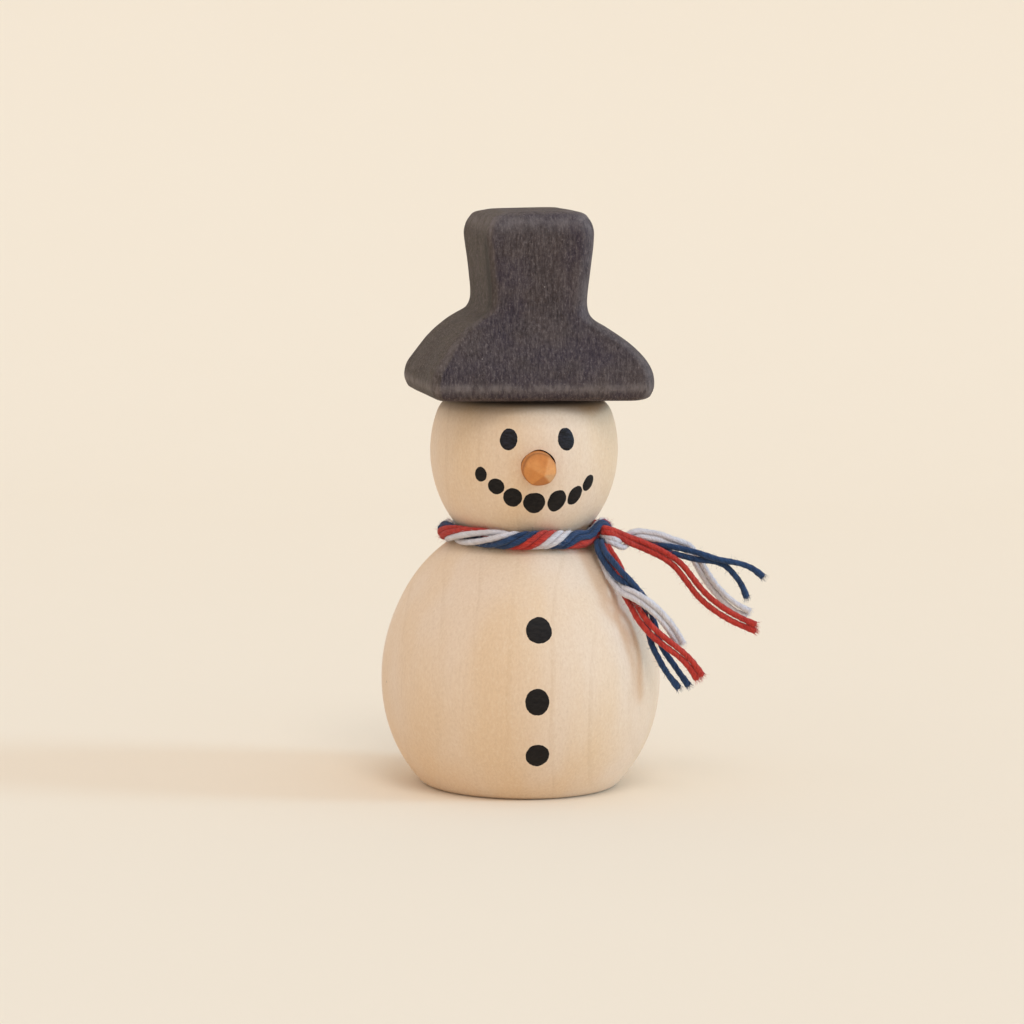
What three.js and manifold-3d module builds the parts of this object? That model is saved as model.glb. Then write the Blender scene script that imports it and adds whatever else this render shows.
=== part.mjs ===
// A turned wooden snowman with a sawn hat, a peg nose and a twine scarf.
// Millimetres, +Z up, origin at the middle of the base, nose towards -Y.
import * as THREE from "three";
import { mergeVertices } from "three/addons/utils/BufferGeometryUtils.js";
import Module from "manifold-3d";

// ---- driving dimensions ----

// Turned body and head: two stacked egg shapes that share one axis.
const BODY_RADIUS = 23.65;
const BODY_WIDEST_Z = 17.9;
const BODY_UPPER = 27.5; // from the widest line to the shoulder's imagined tip
const BODY_LOWER = 24.8; // from the widest line to the bottom's imagined tip
const BASE_BEVEL = 0.5;
const NECK_RADIUS = 10;
const HEAD_RADIUS = 15.8;
const HEAD_HALF_HEIGHT = 18.2;
const TURNING_SEGMENTS = 60;

// Hat: one block, sawn to a profile from the front and from the side, glued on a little forward.
const HAT_WIDTH = 38.1;
const HAT_DEPTH = 28.4;
const HAT_HEIGHT = 31.05;
const HAT_SEAT_Z = 66.05;
const HAT_TURN = THREE.MathUtils.degToRad(3.7);
const HAT_FORWARD = 1.7;
const RIM_HEIGHT = 2.9;
const EDGE_ROUND = 1.2;
const LEFT_SHOULDER_Z = 13.6;
const RIGHT_SHOULDER_Z = 12.6;
const END_SHOULDER_Z = 12; // of the front and the back
const WAIST_HALF_WIDTH = 8.1;
const WAIST_HALF_DEPTH = 11.1;
const CROWN_HALF_WIDTH = 9.1;
const CROWN_HALF_DEPTH = 11.5;
const CROWN_ROUND = 4;
const PLAN_ROUND = 2.6;
// Shares of the brim's slope and of the crown's rounding that shape their curves.
const BRIM_FULLNESS = 0.35;
const BRIM_SWEEP = 0.4;
const SHOULDER_DIP = 0.28;
const SHOULDER_FLARE = 0.12;
const CROWN_FULLNESS = 0.3;
const WAIST_FILLET = 2.6; // height of the round between the brim and the crown
const CURVE_DIVISIONS = 7;

// Nose: a dowel with a whittled point, in a blind hole.
const NOSE_RADIUS = 2.75;
const NOSE_Z = 55.5;
const NOSE_DROOP = THREE.MathUtils.degToRad(5);
const NOSE_SHANK = 5; // inside the head
const NOSE_COLLAR = 1.2; // straight part outside the head
const NOSE_POINT = 3.8;
const NOSE_TIP_RADIUS = 0.5;
const NOSE_TIP_ROUND = 0.3;
const DOWEL_SEGMENTS = 24;

// Scarf: one length of three-ply twine, knotted at the neck's left side.
const TWINE_DIAMETER = 2.8;
const PLY_DIAMETER = 1;
const ROPE_SIDES = 8;
const LOOP_RADIUS = 12.9;
const LOOP_Z = 43.1;
const SCARF_TURN = THREE.MathUtils.degToRad(-8.5);
const KNOT_ANGLE = THREE.MathUtils.degToRad(-18);
const KNOT_DISTANCE = 15.3;
const KNOT_Z = 43.6;
const KNOT_RADII = [2.1, 2.3, 2.5]; // outwards, along the loop, upwards
const LOOP_GAP = THREE.MathUtils.degToRad(14); // between the knot's middle and either end of the loop
const LOOP_POINTS = 24;
const LOOP_STEPS = 40;
const STEPS_PER_POINT = 2;

const GAP = 0.3; // between pieces that touch

// ---- materials ----

const finish = (color, roughness) =>
  new THREE.MeshStandardMaterial({ color, roughness, metalness: 0 });

const MAPLE = finish(0xe6cdb0, 0.6);
const HAT_STAIN = finish(0x4a4347, 0.65);
const NOSE_DYE = finish(0xd18a4f, 0.6);
const TWINE_BLUE = finish(0x2f4f7d, 0.9);
const TWINE_RED = finish(0xd03a34, 0.9);
const TWINE_WHITE = finish(0xf1ebe8, 0.9);

// ---- solids by manifold-3d ----

const manifold = await Module();
manifold.setup();

function toSolid(geometry) {
  const bare = geometry.clone();
  bare.deleteAttribute("normal");
  bare.deleteAttribute("uv");
  const merged = mergeVertices(bare, 1e-4);
  return new manifold.Manifold(
    new manifold.Mesh({
      numProp: 3,
      vertProperties: new Float32Array(merged.attributes.position.array),
      triVerts: new Uint32Array(merged.index.array),
    }),
  );
}

function toGeometry(solid) {
  const { vertProperties, triVerts } = solid.getMesh();
  const geometry = new THREE.BufferGeometry();
  geometry.setAttribute("position", new THREE.BufferAttribute(vertProperties, 3));
  geometry.setIndex(new THREE.BufferAttribute(triVerts, 1));
  geometry.computeVertexNormals();
  return geometry;
}

function piece(name, geometry, material) {
  const mesh = new THREE.Mesh(geometry, material);
  mesh.name = name;
  return mesh;
}

// A profile of (radius, height) points turned round the Z axis.
function turned(points, segments) {
  return new THREE.LatheGeometry(points, segments).rotateX(Math.PI / 2);
}

// ---- body ----

// Height above the widest line at which an egg shape has this radius.
function rise(radius, widest, halfHeight) {
  return halfHeight * Math.sqrt(1 - (radius / widest) ** 2);
}

function eggArc(centreZ, radius, halfHeight, fromAngle, toAngle, divisions) {
  const arc = new THREE.EllipseCurve(0, centreZ, radius, halfHeight, fromAngle, toAngle);
  return arc.getPoints(divisions);
}

function bodyProfile() {
  const baseAngle = -Math.asin((BODY_WIDEST_Z - BASE_BEVEL) / BODY_LOWER);
  const neckOnBody = Math.acos(NECK_RADIUS / BODY_RADIUS);
  const neckOnHead = -Math.acos(NECK_RADIUS / HEAD_RADIUS);
  const neckZ = BODY_WIDEST_Z + rise(NECK_RADIUS, BODY_RADIUS, BODY_UPPER);
  const headZ = neckZ + rise(NECK_RADIUS, HEAD_RADIUS, HEAD_HALF_HEIGHT);
  const lower = eggArc(BODY_WIDEST_Z, BODY_RADIUS, BODY_LOWER, baseAngle, 0, 10);
  const upper = eggArc(BODY_WIDEST_Z, BODY_RADIUS, BODY_UPPER, 0, neckOnBody, 12);
  const head = eggArc(headZ, HEAD_RADIUS, HEAD_HALF_HEIGHT, neckOnHead, Math.PI / 2, 16);
  const foot = new THREE.Vector2(lower[0].x - BASE_BEVEL, 0);
  const crown = new THREE.Vector2(0, headZ + HEAD_HALF_HEIGHT);
  return [
    new THREE.Vector2(0, 0),
    foot,
    ...lower,
    ...upper.slice(1),
    ...head.slice(1, -1),
    crown,
  ];
}

// The hat's own frame: its seat is at z = 0.
function placeHat(object) {
  object.rotation.z = HAT_TURN;
  object.position.set(HAT_FORWARD * Math.sin(HAT_TURN), -HAT_FORWARD * Math.cos(HAT_TURN), HAT_SEAT_Z);
  return object;
}

// The nose's own frame: +Z points out of the face, and z = 0 is where the dowel leaves the wood.
function placeNose(object) {
  object.rotation.x = Math.PI / 2 + NOSE_DROOP;
  object.position.set(0, -HEAD_RADIUS, NOSE_Z);
  object.updateMatrixWorld(true);
  return object;
}

// Everything of the head's egg shape above the hat's seat.
function sawnOff() {
  const size = 2 * HAT_WIDTH;
  return new THREE.BoxGeometry(size, size, size).translate(0, 0, HAT_SEAT_Z + size / 2);
}

function noseHole() {
  const radius = NOSE_RADIUS + GAP;
  const bottom = -NOSE_SHANK - GAP;
  const hole = turned(
    [
      new THREE.Vector2(0, bottom),
      new THREE.Vector2(radius, bottom),
      new THREE.Vector2(radius, NOSE_COLLAR),
      new THREE.Vector2(0, NOSE_COLLAR),
    ],
    DOWEL_SEGMENTS,
  );
  return hole.applyMatrix4(placeNose(new THREE.Object3D()).matrixWorld);
}

function bodyGeometry() {
  const blank = toSolid(turned(bodyProfile(), TURNING_SEGMENTS));
  return toGeometry(blank.subtract(toSolid(sawnOff())).subtract(toSolid(noseHole())));
}

// ---- hat ----

// One side of the hat's profile, from the middle of the seat to the middle of the top.
function hatSide(path, side, brim, waist, crown, shoulderZ) {
  path.lineTo(side * (brim - EDGE_ROUND), 0);
  path.quadraticCurveTo(side * brim, 0, side * brim, EDGE_ROUND);
  path.lineTo(side * brim, RIM_HEIGHT);
  const slope = brim - waist;
  path.bezierCurveTo(
    side * brim,
    RIM_HEIGHT + BRIM_FULLNESS * (shoulderZ - RIM_HEIGHT),
    side * (brim - BRIM_SWEEP * slope),
    shoulderZ - SHOULDER_DIP * (shoulderZ - RIM_HEIGHT),
    side * (waist + SHOULDER_FLARE * slope),
    shoulderZ,
  );
  const waistZ = shoulderZ + WAIST_FILLET;
  path.quadraticCurveTo(side * waist, shoulderZ + CROWN_FULLNESS * WAIST_FILLET, side * waist, waistZ);
  path.lineTo(side * crown, HAT_HEIGHT - 1.5 * CROWN_ROUND);
  path.bezierCurveTo(
    side * crown,
    HAT_HEIGHT - CROWN_FULLNESS * CROWN_ROUND,
    side * (crown - CROWN_FULLNESS * CROWN_ROUND),
    HAT_HEIGHT,
    side * (crown - CROWN_ROUND),
    HAT_HEIGHT,
  );
}

// A whole profile: its sides end at the top, so the second side is drawn from the seat and reversed.
function hatProfile(brim, waist, crown, leftShoulderZ, rightShoulderZ) {
  const right = new THREE.Path().moveTo(0, 0);
  hatSide(right, 1, brim, waist, crown, rightShoulderZ);
  const left = new THREE.Path().moveTo(0, 0);
  hatSide(left, -1, brim, waist, crown, leftShoulderZ);
  const rightPoints = right.getPoints(CURVE_DIVISIONS);
  const leftPoints = left.getPoints(CURVE_DIVISIONS).slice(1).reverse();
  return new THREE.Shape([...rightPoints, ...leftPoints]);
}

function sawn(shape, length) {
  const block = new THREE.ExtrudeGeometry(shape, { depth: length, bevelEnabled: false });
  return block.translate(0, 0, -length / 2);
}

function planShape() {
  const x = HAT_WIDTH / 2;
  const y = HAT_DEPTH / 2;
  const shape = new THREE.Shape().moveTo(-x + PLAN_ROUND, -y);
  shape.lineTo(x - PLAN_ROUND, -y);
  shape.absarc(x - PLAN_ROUND, -y + PLAN_ROUND, PLAN_ROUND, -Math.PI / 2, 0);
  shape.absarc(x - PLAN_ROUND, y - PLAN_ROUND, PLAN_ROUND, 0, Math.PI / 2);
  shape.absarc(-x + PLAN_ROUND, y - PLAN_ROUND, PLAN_ROUND, Math.PI / 2, Math.PI);
  shape.absarc(-x + PLAN_ROUND, -y + PLAN_ROUND, PLAN_ROUND, Math.PI, 1.5 * Math.PI);
  return new THREE.Shape(shape.getPoints(CURVE_DIVISIONS));
}

function hatGeometry() {
  const front = hatProfile(
    HAT_WIDTH / 2,
    WAIST_HALF_WIDTH,
    CROWN_HALF_WIDTH,
    LEFT_SHOULDER_Z,
    RIGHT_SHOULDER_Z,
  );
  const side = hatProfile(
    HAT_DEPTH / 2,
    WAIST_HALF_DEPTH,
    CROWN_HALF_DEPTH,
    END_SHOULDER_Z,
    END_SHOULDER_Z,
  );
  const upright = new THREE.Matrix4().makeRotationX(Math.PI / 2);
  const sideways = new THREE.Matrix4().makeRotationZ(Math.PI / 2).multiply(upright);
  const fromFront = sawn(front, 2 * HAT_DEPTH).applyMatrix4(upright);
  const fromSide = sawn(side, 2 * HAT_WIDTH).applyMatrix4(sideways);
  const fromAbove = sawn(planShape(), 3 * HAT_HEIGHT);
  const solid = toSolid(fromFront).intersect(toSolid(fromSide)).intersect(toSolid(fromAbove));
  return toGeometry(solid).translate(0, 0, GAP);
}

// ---- nose ----

function noseGeometry() {
  const tipZ = NOSE_COLLAR + NOSE_POINT;
  return turned(
    [
      new THREE.Vector2(0, -NOSE_SHANK),
      new THREE.Vector2(NOSE_RADIUS, -NOSE_SHANK),
      new THREE.Vector2(NOSE_RADIUS, NOSE_COLLAR),
      new THREE.Vector2(NOSE_TIP_RADIUS, tipZ - NOSE_TIP_ROUND),
      new THREE.Vector2(0, tipZ),
    ],
    DOWEL_SEGMENTS,
  );
}

// ---- scarf ----

// A regular section swept along a smooth curve.
function tube(curve, diameter, steps) {
  const section = new THREE.Shape();
  for (let i = 0; i < ROPE_SIDES; i++) {
    const angle = (2 * Math.PI * i) / ROPE_SIDES;
    const x = (diameter / 2) * Math.cos(angle);
    const y = (diameter / 2) * Math.sin(angle);
    if (i === 0) section.moveTo(x, y);
    else section.lineTo(x, y);
  }
  section.closePath();
  return new THREE.ExtrudeGeometry(section, { extrudePath: curve, steps, bevelEnabled: false });
}

function loopGeometry() {
  const start = KNOT_ANGLE + LOOP_GAP;
  const sweep = 2 * Math.PI - 2 * LOOP_GAP;
  const points = [];
  for (let i = 0; i <= LOOP_POINTS; i++) {
    const angle = start + (sweep * i) / LOOP_POINTS;
    const x = LOOP_RADIUS * Math.cos(angle);
    const y = LOOP_RADIUS * Math.sin(angle);
    points.push(new THREE.Vector3(x, y, LOOP_Z));
  }
  return tube(new THREE.CatmullRomCurve3(points), TWINE_DIAMETER, LOOP_STEPS);
}

function knotGeometry() {
  const knot = new THREE.SphereGeometry(1, DOWEL_SEGMENTS, DOWEL_SEGMENTS / 2).scale(...KNOT_RADII);
  const x = KNOT_DISTANCE * Math.cos(KNOT_ANGLE);
  const y = KNOT_DISTANCE * Math.sin(KNOT_ANGLE);
  return knot.rotateZ(KNOT_ANGLE).translate(x, y, KNOT_Z);
}

// The six loose ends, in the scarf's frame: the middle of each ply from the knot to its tip.
const UPPER_ENDS = {
  blue: [
    [19.4, -3.7, 42.4],
    [22.4, -4.0, 41.4],
    [25.7, -4.7, 40.7],
    [29.2, -5.0, 39.9],
    [32.6, -5.1, 39.2],
    [34.5, -4.9, 38.6],
    [36.3, -4.8, 37.6],
    [37.8, -4.8, 36.5],
    [39.1, -4.8, 34.8],
  ],
  red: [
    [16.8, -6.3, 42.9],
    [19.0, -5.6, 42.1],
    [21.9, -5.4, 40.9],
    [24.5, -5.4, 39.6],
    [26.4, -5.5, 38.1],
    [28.3, -5.6, 35.7],
    [30.3, -5.8, 33.3],
    [33.2, -5.9, 31.0],
    [36.2, -6.0, 29.3],
    [39.3, -6.0, 28.0],
  ],
  white: [
    [17.8, -4.9, 43.0],
    [19.2, -4.6, 43.5],
    [21.7, -4.2, 43.0],
    [24.7, -3.8, 42.1],
    [27.4, -2.7, 41.3],
    [29.3, -0.4, 39.0],
    [30.9, 1.2, 36.1],
    [33.2, 2.4, 33.0],
    [36.2, 3.4, 30.2],
    [38.5, 4.2, 28.9],
  ],
};
const LOWER_ENDS = {
  blue: [
    [13.4, -10.2, 40.6],
    [14.6, -11.7, 39.2],
    [15.8, -12.8, 37.9],
    [17.3, -13.8, 36.5],
    [18.8, -13.9, 35.1],
    [20.2, -13.1, 33.2],
    [21.2, -12.1, 30.5],
    [21.9, -12.0, 27.9],
    [22.6, -12.2, 25.5],
    [23.8, -12.6, 23.6],
    [25.1, -12.9, 21.6],
    [27.1, -13.1, 19.0],
  ],
  red: [
    [14.3, -8.6, 41.0],
    [15.2, -9.5, 39.8],
    [16.0, -10.4, 38.0],
    [16.7, -11.2, 35.8],
    [17.8, -12.3, 33.8],
    [18.7, -13.6, 32.4],
    [19.8, -14.4, 30.5],
    [21.8, -14.6, 28.3],
    [24.0, -14.6, 26.5],
    [26.8, -14.5, 24.4],
    [28.5, -14.4, 22.6],
    [29.7, -14.2, 20.8],
  ],
  white: [
    [13.4, -8.6, 39.7],
    [14.2, -10.4, 38.0],
    [15.4, -11.9, 36.5],
    [16.8, -13.7, 35.3],
    [18.7, -15.2, 34.4],
    [20.6, -15.3, 33.3],
    [22.4, -14.6, 31.7],
    [24.1, -13.8, 29.8],
    [25.6, -13.0, 27.7],
    [26.4, -12.4, 26.1],
  ],
};

function endGeometry(points) {
  const route = points.map((point) => new THREE.Vector3(...point));
  return tube(new THREE.CatmullRomCurve3(route), PLY_DIAMETER, STEPS_PER_POINT * points.length);
}

function scarf() {
  const dyes = { blue: TWINE_BLUE, red: TWINE_RED, white: TWINE_WHITE };
  const group = new THREE.Group();
  group.rotation.z = SCARF_TURN;
  group.add(piece("scarf_loop", loopGeometry(), TWINE_WHITE));
  group.add(piece("scarf_knot", knotGeometry(), TWINE_BLUE));
  for (const [colour, points] of Object.entries(UPPER_ENDS))
    group.add(piece(`scarf_upper_${colour}`, endGeometry(points), dyes[colour]));
  for (const [colour, points] of Object.entries(LOWER_ENDS))
    group.add(piece(`scarf_lower_${colour}`, endGeometry(points), dyes[colour]));
  return group;
}

// ---- the whole figure ----

const snowman = new THREE.Group();
snowman.add(piece("body", bodyGeometry(), MAPLE));
snowman.add(placeHat(piece("hat", hatGeometry(), HAT_STAIN)));
snowman.add(placeNose(piece("nose", noseGeometry(), NOSE_DYE)));
snowman.add(scarf());

export default snowman;
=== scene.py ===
# Looks of a turned wooden snowman: fine meshes, procedural materials, floor, light and camera.
# Lengths are in millimetres in the helpers and are turned into metres where a mesh is made.
import bpy
import bmesh
import math
import random
from mathutils import Matrix, Vector, noise
from mathutils.kdtree import KDTree


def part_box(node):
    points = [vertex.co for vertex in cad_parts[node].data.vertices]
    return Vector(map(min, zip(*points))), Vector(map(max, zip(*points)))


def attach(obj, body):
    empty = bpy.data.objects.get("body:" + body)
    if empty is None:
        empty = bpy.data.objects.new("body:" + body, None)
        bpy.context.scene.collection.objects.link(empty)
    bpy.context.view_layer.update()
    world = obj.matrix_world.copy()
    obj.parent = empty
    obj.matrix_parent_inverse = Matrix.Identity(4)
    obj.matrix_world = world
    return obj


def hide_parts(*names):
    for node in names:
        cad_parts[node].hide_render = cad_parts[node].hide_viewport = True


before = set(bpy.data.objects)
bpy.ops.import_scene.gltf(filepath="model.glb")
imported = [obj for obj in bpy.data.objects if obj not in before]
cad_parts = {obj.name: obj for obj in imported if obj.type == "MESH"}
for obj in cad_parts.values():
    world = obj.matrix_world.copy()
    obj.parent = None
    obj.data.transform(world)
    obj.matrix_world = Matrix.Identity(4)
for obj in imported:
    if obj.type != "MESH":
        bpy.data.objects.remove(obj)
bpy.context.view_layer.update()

MM = 0.001
TAU = 2 * math.pi
UP = Vector((0, 0, 1))


def node_box(name):
    """Lowest and highest corner of a CAD node, in millimetres."""
    low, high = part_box(name)
    return low / MM, high / MM


# ---- driving dimensions, in millimetres ----

body_low, body_high = node_box("body")
BODY_RADIUS = (body_high.x - body_low.x) / 2
BODY_WIDEST_Z = 17.9
BODY_UPPER = 27.5
BODY_LOWER = 24.8
BASE_ROUND = 2.4
NECK_RADIUS = 10.0
HEAD_RADIUS = 15.8
HEAD_HALF_HEIGHT = 18.2
SEAT_Z = 66.35
SEAT_ROUND = 4.5
HAT_TURN = math.radians(3.7)
HAT_FORWARD = 1.7  # the hat is glued on a little forward of the middle

NOSE_RADIUS = 2.75
NOSE_Z = 55.5
NOSE_DROOP = math.radians(5)
NOSE_HOLE = 2.87
NOSE_HOLE_DEPTH = 5.5
NOSE_HOLE_SHIFT = (0.09, 0.10)

LOOP_RADIUS = 12.9
LOOP_Z = 43.1
SCARF_TURN = math.radians(-8.5)

# ---- camera ----

VIEW_TURN = math.radians(8.5)  # the camera stands this far to the snowman's right of its nose
VIEW_DISTANCE = 632.6
VIEW_HEIGHT = 120.9
VIEW_AIM_Z = 46.26
VIEW_AIM_LEFT = 1.89
VIEW_ROLL = 0.0148
LENS = 132.4


def make_camera():
    ahead = Vector((math.sin(VIEW_TURN), math.cos(VIEW_TURN), 0))
    right = Vector((ahead.y, -ahead.x, 0))
    place = -VIEW_DISTANCE * ahead + VIEW_HEIGHT * UP
    aim = VIEW_AIM_Z * UP - VIEW_AIM_LEFT * right
    data = bpy.data.cameras.new("camera")
    data.lens = LENS
    data.sensor_width = 36
    data.clip_end = 20
    camera = bpy.data.objects.new("camera", data)
    turn = (aim - place).to_track_quat("-Z", "Y").to_matrix().to_4x4()
    camera.matrix_world = Matrix.Translation(place * MM) @ turn @ Matrix.Rotation(VIEW_ROLL, 4, "Z")
    bpy.context.scene.collection.objects.link(camera)
    bpy.context.scene.camera = camera


make_camera()


# ---- small helpers ----

def smooth_step(x):
    x = min(1.0, max(0.0, x))
    return x * x * (3 - 2 * x)


def mix(a, b, t):
    return a + (b - a) * t


def spline(table, height):
    """The values beside a height in a table, on a smooth curve through its rows."""
    last = len(table) - 1
    i = 0
    while i < last - 1 and table[i + 1][0] < height:
        i += 1
    rows = [table[max(0, i - 1)], table[i], table[i + 1], table[min(last, i + 2)]]
    span = rows[2][0] - rows[1][0]
    t = min(1.0, max(0.0, (height - rows[1][0]) / span))
    values = []
    for k in range(1, len(table[0])):
        start = (rows[2][k] - rows[0][k]) / max(1e-6, rows[2][0] - rows[0][0]) * span
        end = (rows[3][k] - rows[1][k]) / max(1e-6, rows[3][0] - rows[1][0]) * span
        a, b = rows[1][k], rows[2][k]
        values.append(
            (2 * t**3 - 3 * t**2 + 1) * a + (t**3 - 2 * t**2 + t) * start
            + (3 * t**2 - 2 * t**3) * b + (t**3 - t**2) * end
        )
    return values


def ring_point(radius, angle, z):
    return Vector((radius * math.cos(angle), radius * math.sin(angle), z))


def make_object(name, points, faces, material):
    """A smooth-shaded mesh object from points in millimetres."""
    mesh = bpy.data.meshes.new(name)
    mesh.from_pydata([tuple(c * MM for c in p) for p in points], [], faces)
    mesh.update()
    mesh.polygons.foreach_set("use_smooth", [True] * len(mesh.polygons))
    mesh.materials.append(material)
    thing = bpy.data.objects.new(name, mesh)
    bpy.context.scene.collection.objects.link(thing)
    return thing


def float_attribute(thing, name, values):
    attribute = thing.data.attributes.new(name, "FLOAT", "POINT")
    attribute.data.foreach_set("value", values)


def ring_faces(rings, sides, first=0):
    """Quads between rings of points that follow each other in the point list."""
    faces = []
    for i in range(rings - 1):
        for j in range(sides):
            k = (j + 1) % sides
            a = first + i * sides
            b = a + sides
            faces.append((a + j, a + k, b + k, b + j))
    return faces


def end_caps(rings, sides):
    """The flat faces that close the first and the last of a stack of rings."""
    last = (rings - 1) * sides
    return [tuple(reversed(range(sides))), tuple(last + j for j in range(sides))]


def subtract(thing, cutter):
    """Cuts one closed mesh out of another and removes the cutter."""
    cut = thing.modifiers.new("cut", "BOOLEAN")
    cut.operation = "DIFFERENCE"
    cut.solver = "EXACT"
    cut.object = cutter
    bpy.context.view_layer.update()
    graph = bpy.context.evaluated_depsgraph_get()
    mesh = bpy.data.meshes.new_from_object(thing.evaluated_get(graph))
    thing.modifiers.clear()
    thing.data = mesh
    bpy.data.objects.remove(cutter)


# ---- node helpers ----

class Shader:
    """A material's node tree, with short calls for the nodes that are used here."""

    def __init__(self, name):
        self.material = bpy.data.materials.new(name)
        self.material.use_nodes = True
        self.tree = self.material.node_tree
        self.surface = self.tree.nodes["Principled BSDF"]

    def feed(self, node, key, value):
        socket = node.inputs[key]
        if isinstance(value, bpy.types.NodeSocket):
            self.tree.links.new(value, socket)
        else:
            socket.default_value = value

    def math(self, operation, a, b=0.0, c=0.0):
        made = self.tree.nodes.new("ShaderNodeMath")
        made.operation = operation
        for i, value in enumerate((a, b, c)):
            self.feed(made, i, value)
        return made.outputs[0]

    def place(self, scale=(1, 1, 1), turn=(0, 0, 0), move=(0, 0, 0)):
        """Object coordinates in millimetres, then turned, moved and scaled."""
        coordinates = self.tree.nodes.new("ShaderNodeTexCoord").outputs["Object"]
        mapping = self.tree.nodes.new("ShaderNodeMapping")
        self.tree.links.new(coordinates, mapping.inputs["Vector"])
        mapping.inputs["Location"].default_value = move
        mapping.inputs["Rotation"].default_value = turn
        mapping.inputs["Scale"].default_value = tuple(s / MM for s in scale)
        return mapping.outputs[0]

    def height(self):
        """Height above the table, in millimetres."""
        split = self.tree.nodes.new("ShaderNodeSeparateXYZ")
        self.tree.links.new(self.place(), split.inputs[0])
        return split.outputs[2]

    def noise(self, vector, scale, detail=2.0, roughness=0.5):
        made = self.tree.nodes.new("ShaderNodeTexNoise")
        self.tree.links.new(vector, made.inputs["Vector"])
        made.inputs["Scale"].default_value = scale
        made.inputs["Detail"].default_value = detail
        made.inputs["Roughness"].default_value = roughness
        return made.outputs["Fac"]

    def specks(self, vector, scale, stops):
        """Scattered round specks, by their distance from their middles."""
        made = self.tree.nodes.new("ShaderNodeTexVoronoi")
        self.tree.links.new(vector, made.inputs["Vector"])
        made.inputs["Scale"].default_value = scale
        return self.ramp(made.outputs["Distance"], stops)

    def ramp(self, value, stops):
        """Colours or grey levels at places from 0 to 1."""
        made = self.tree.nodes.new("ShaderNodeValToRGB")
        ramp = made.color_ramp
        while len(ramp.elements) < len(stops):
            ramp.elements.new(0.5)
        for element, (place, colour) in zip(ramp.elements, stops):
            element.position = place
            element.color = colour if hasattr(colour, "__len__") else (colour, colour, colour, 1)
        self.tree.links.new(value, made.inputs[0])
        return made.outputs[0]

    def blend(self, factor, a, b):
        made = self.tree.nodes.new("ShaderNodeMix")
        made.data_type = "RGBA"
        for key, value in ((0, factor), (6, a), (7, b)):
            self.feed(made, key, value)
        return made.outputs[2]

    def attribute(self, name):
        made = self.tree.nodes.new("ShaderNodeAttribute")
        made.attribute_name = name
        return made.outputs["Fac"]

    def bump(self, height, distance, strength=1.0, normal=None):
        made = self.tree.nodes.new("ShaderNodeBump")
        made.inputs["Strength"].default_value = strength
        made.inputs["Distance"].default_value = distance * MM
        self.tree.links.new(height, made.inputs["Height"])
        if normal:
            self.tree.links.new(normal, made.inputs["Normal"])
        return made.outputs[0]

    def finish(self, **inputs):
        for key, value in inputs.items():
            self.feed(self.surface, key.replace("_", " "), value)
        return self.material


def rgb(red, green, blue):
    return (red, green, blue, 1)


# ---- wood of body and head ----

GRAIN_TURN = math.radians(-70)  # the growth rings' normal, seen from above
PITH_AWAY = 160.0
RING_WIDTH = 6.2
RING_WAVER = 5.0
BRIM_SHADE_REACH = 4.6  # how far down the head the painted shade under the brim reaches


def ring_lines(s):
    """Where growth rings cut the surface, stronger in some patches than in others."""
    split = s.tree.nodes.new("ShaderNodeSeparateXYZ")
    s.tree.links.new(s.place(turn=(0, 0, GRAIN_TURN)), split.inputs[0])
    waver = s.noise(s.place(scale=(1, 1, 0.22)), 0.05, 3)
    across = s.math("POWER", s.math("ADD", split.outputs[1], PITH_AWAY), 2.0)
    along = s.math("POWER", split.outputs[0], 2.0)
    from_pith = s.math("SQRT", s.math("ADD", across, along))
    distance = s.math("ADD", from_pith, s.math("MULTIPLY", waver, RING_WAVER))
    year = s.math("FRACT", s.math("DIVIDE", distance, RING_WIDTH))
    line = s.ramp(year, [(0, 0.0), (0.84, 0.08), (0.95, 1.0), (0.972, 1.0), (1.0, 0.0)])
    patchy = s.noise(s.place(scale=(1, 1, 0.3)), 0.12, 2)
    return s.math("MULTIPLY", line, s.ramp(patchy, [(0.38, 0.05), (0.68, 1.0)]))


def painted_brim_shade(s):
    """Painted shade under the hat's brim: a dark ring at the top of the head, from 0 to 1."""
    share = s.math("DIVIDE", s.math("SUBTRACT", s.height(), SEAT_Z - BRIM_SHADE_REACH), BRIM_SHADE_REACH)
    return s.ramp(share, [(0.0, 0.0), (0.45, 0.14), (0.72, 0.42), (0.88, 0.93), (1.0, 0.96)])


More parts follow.
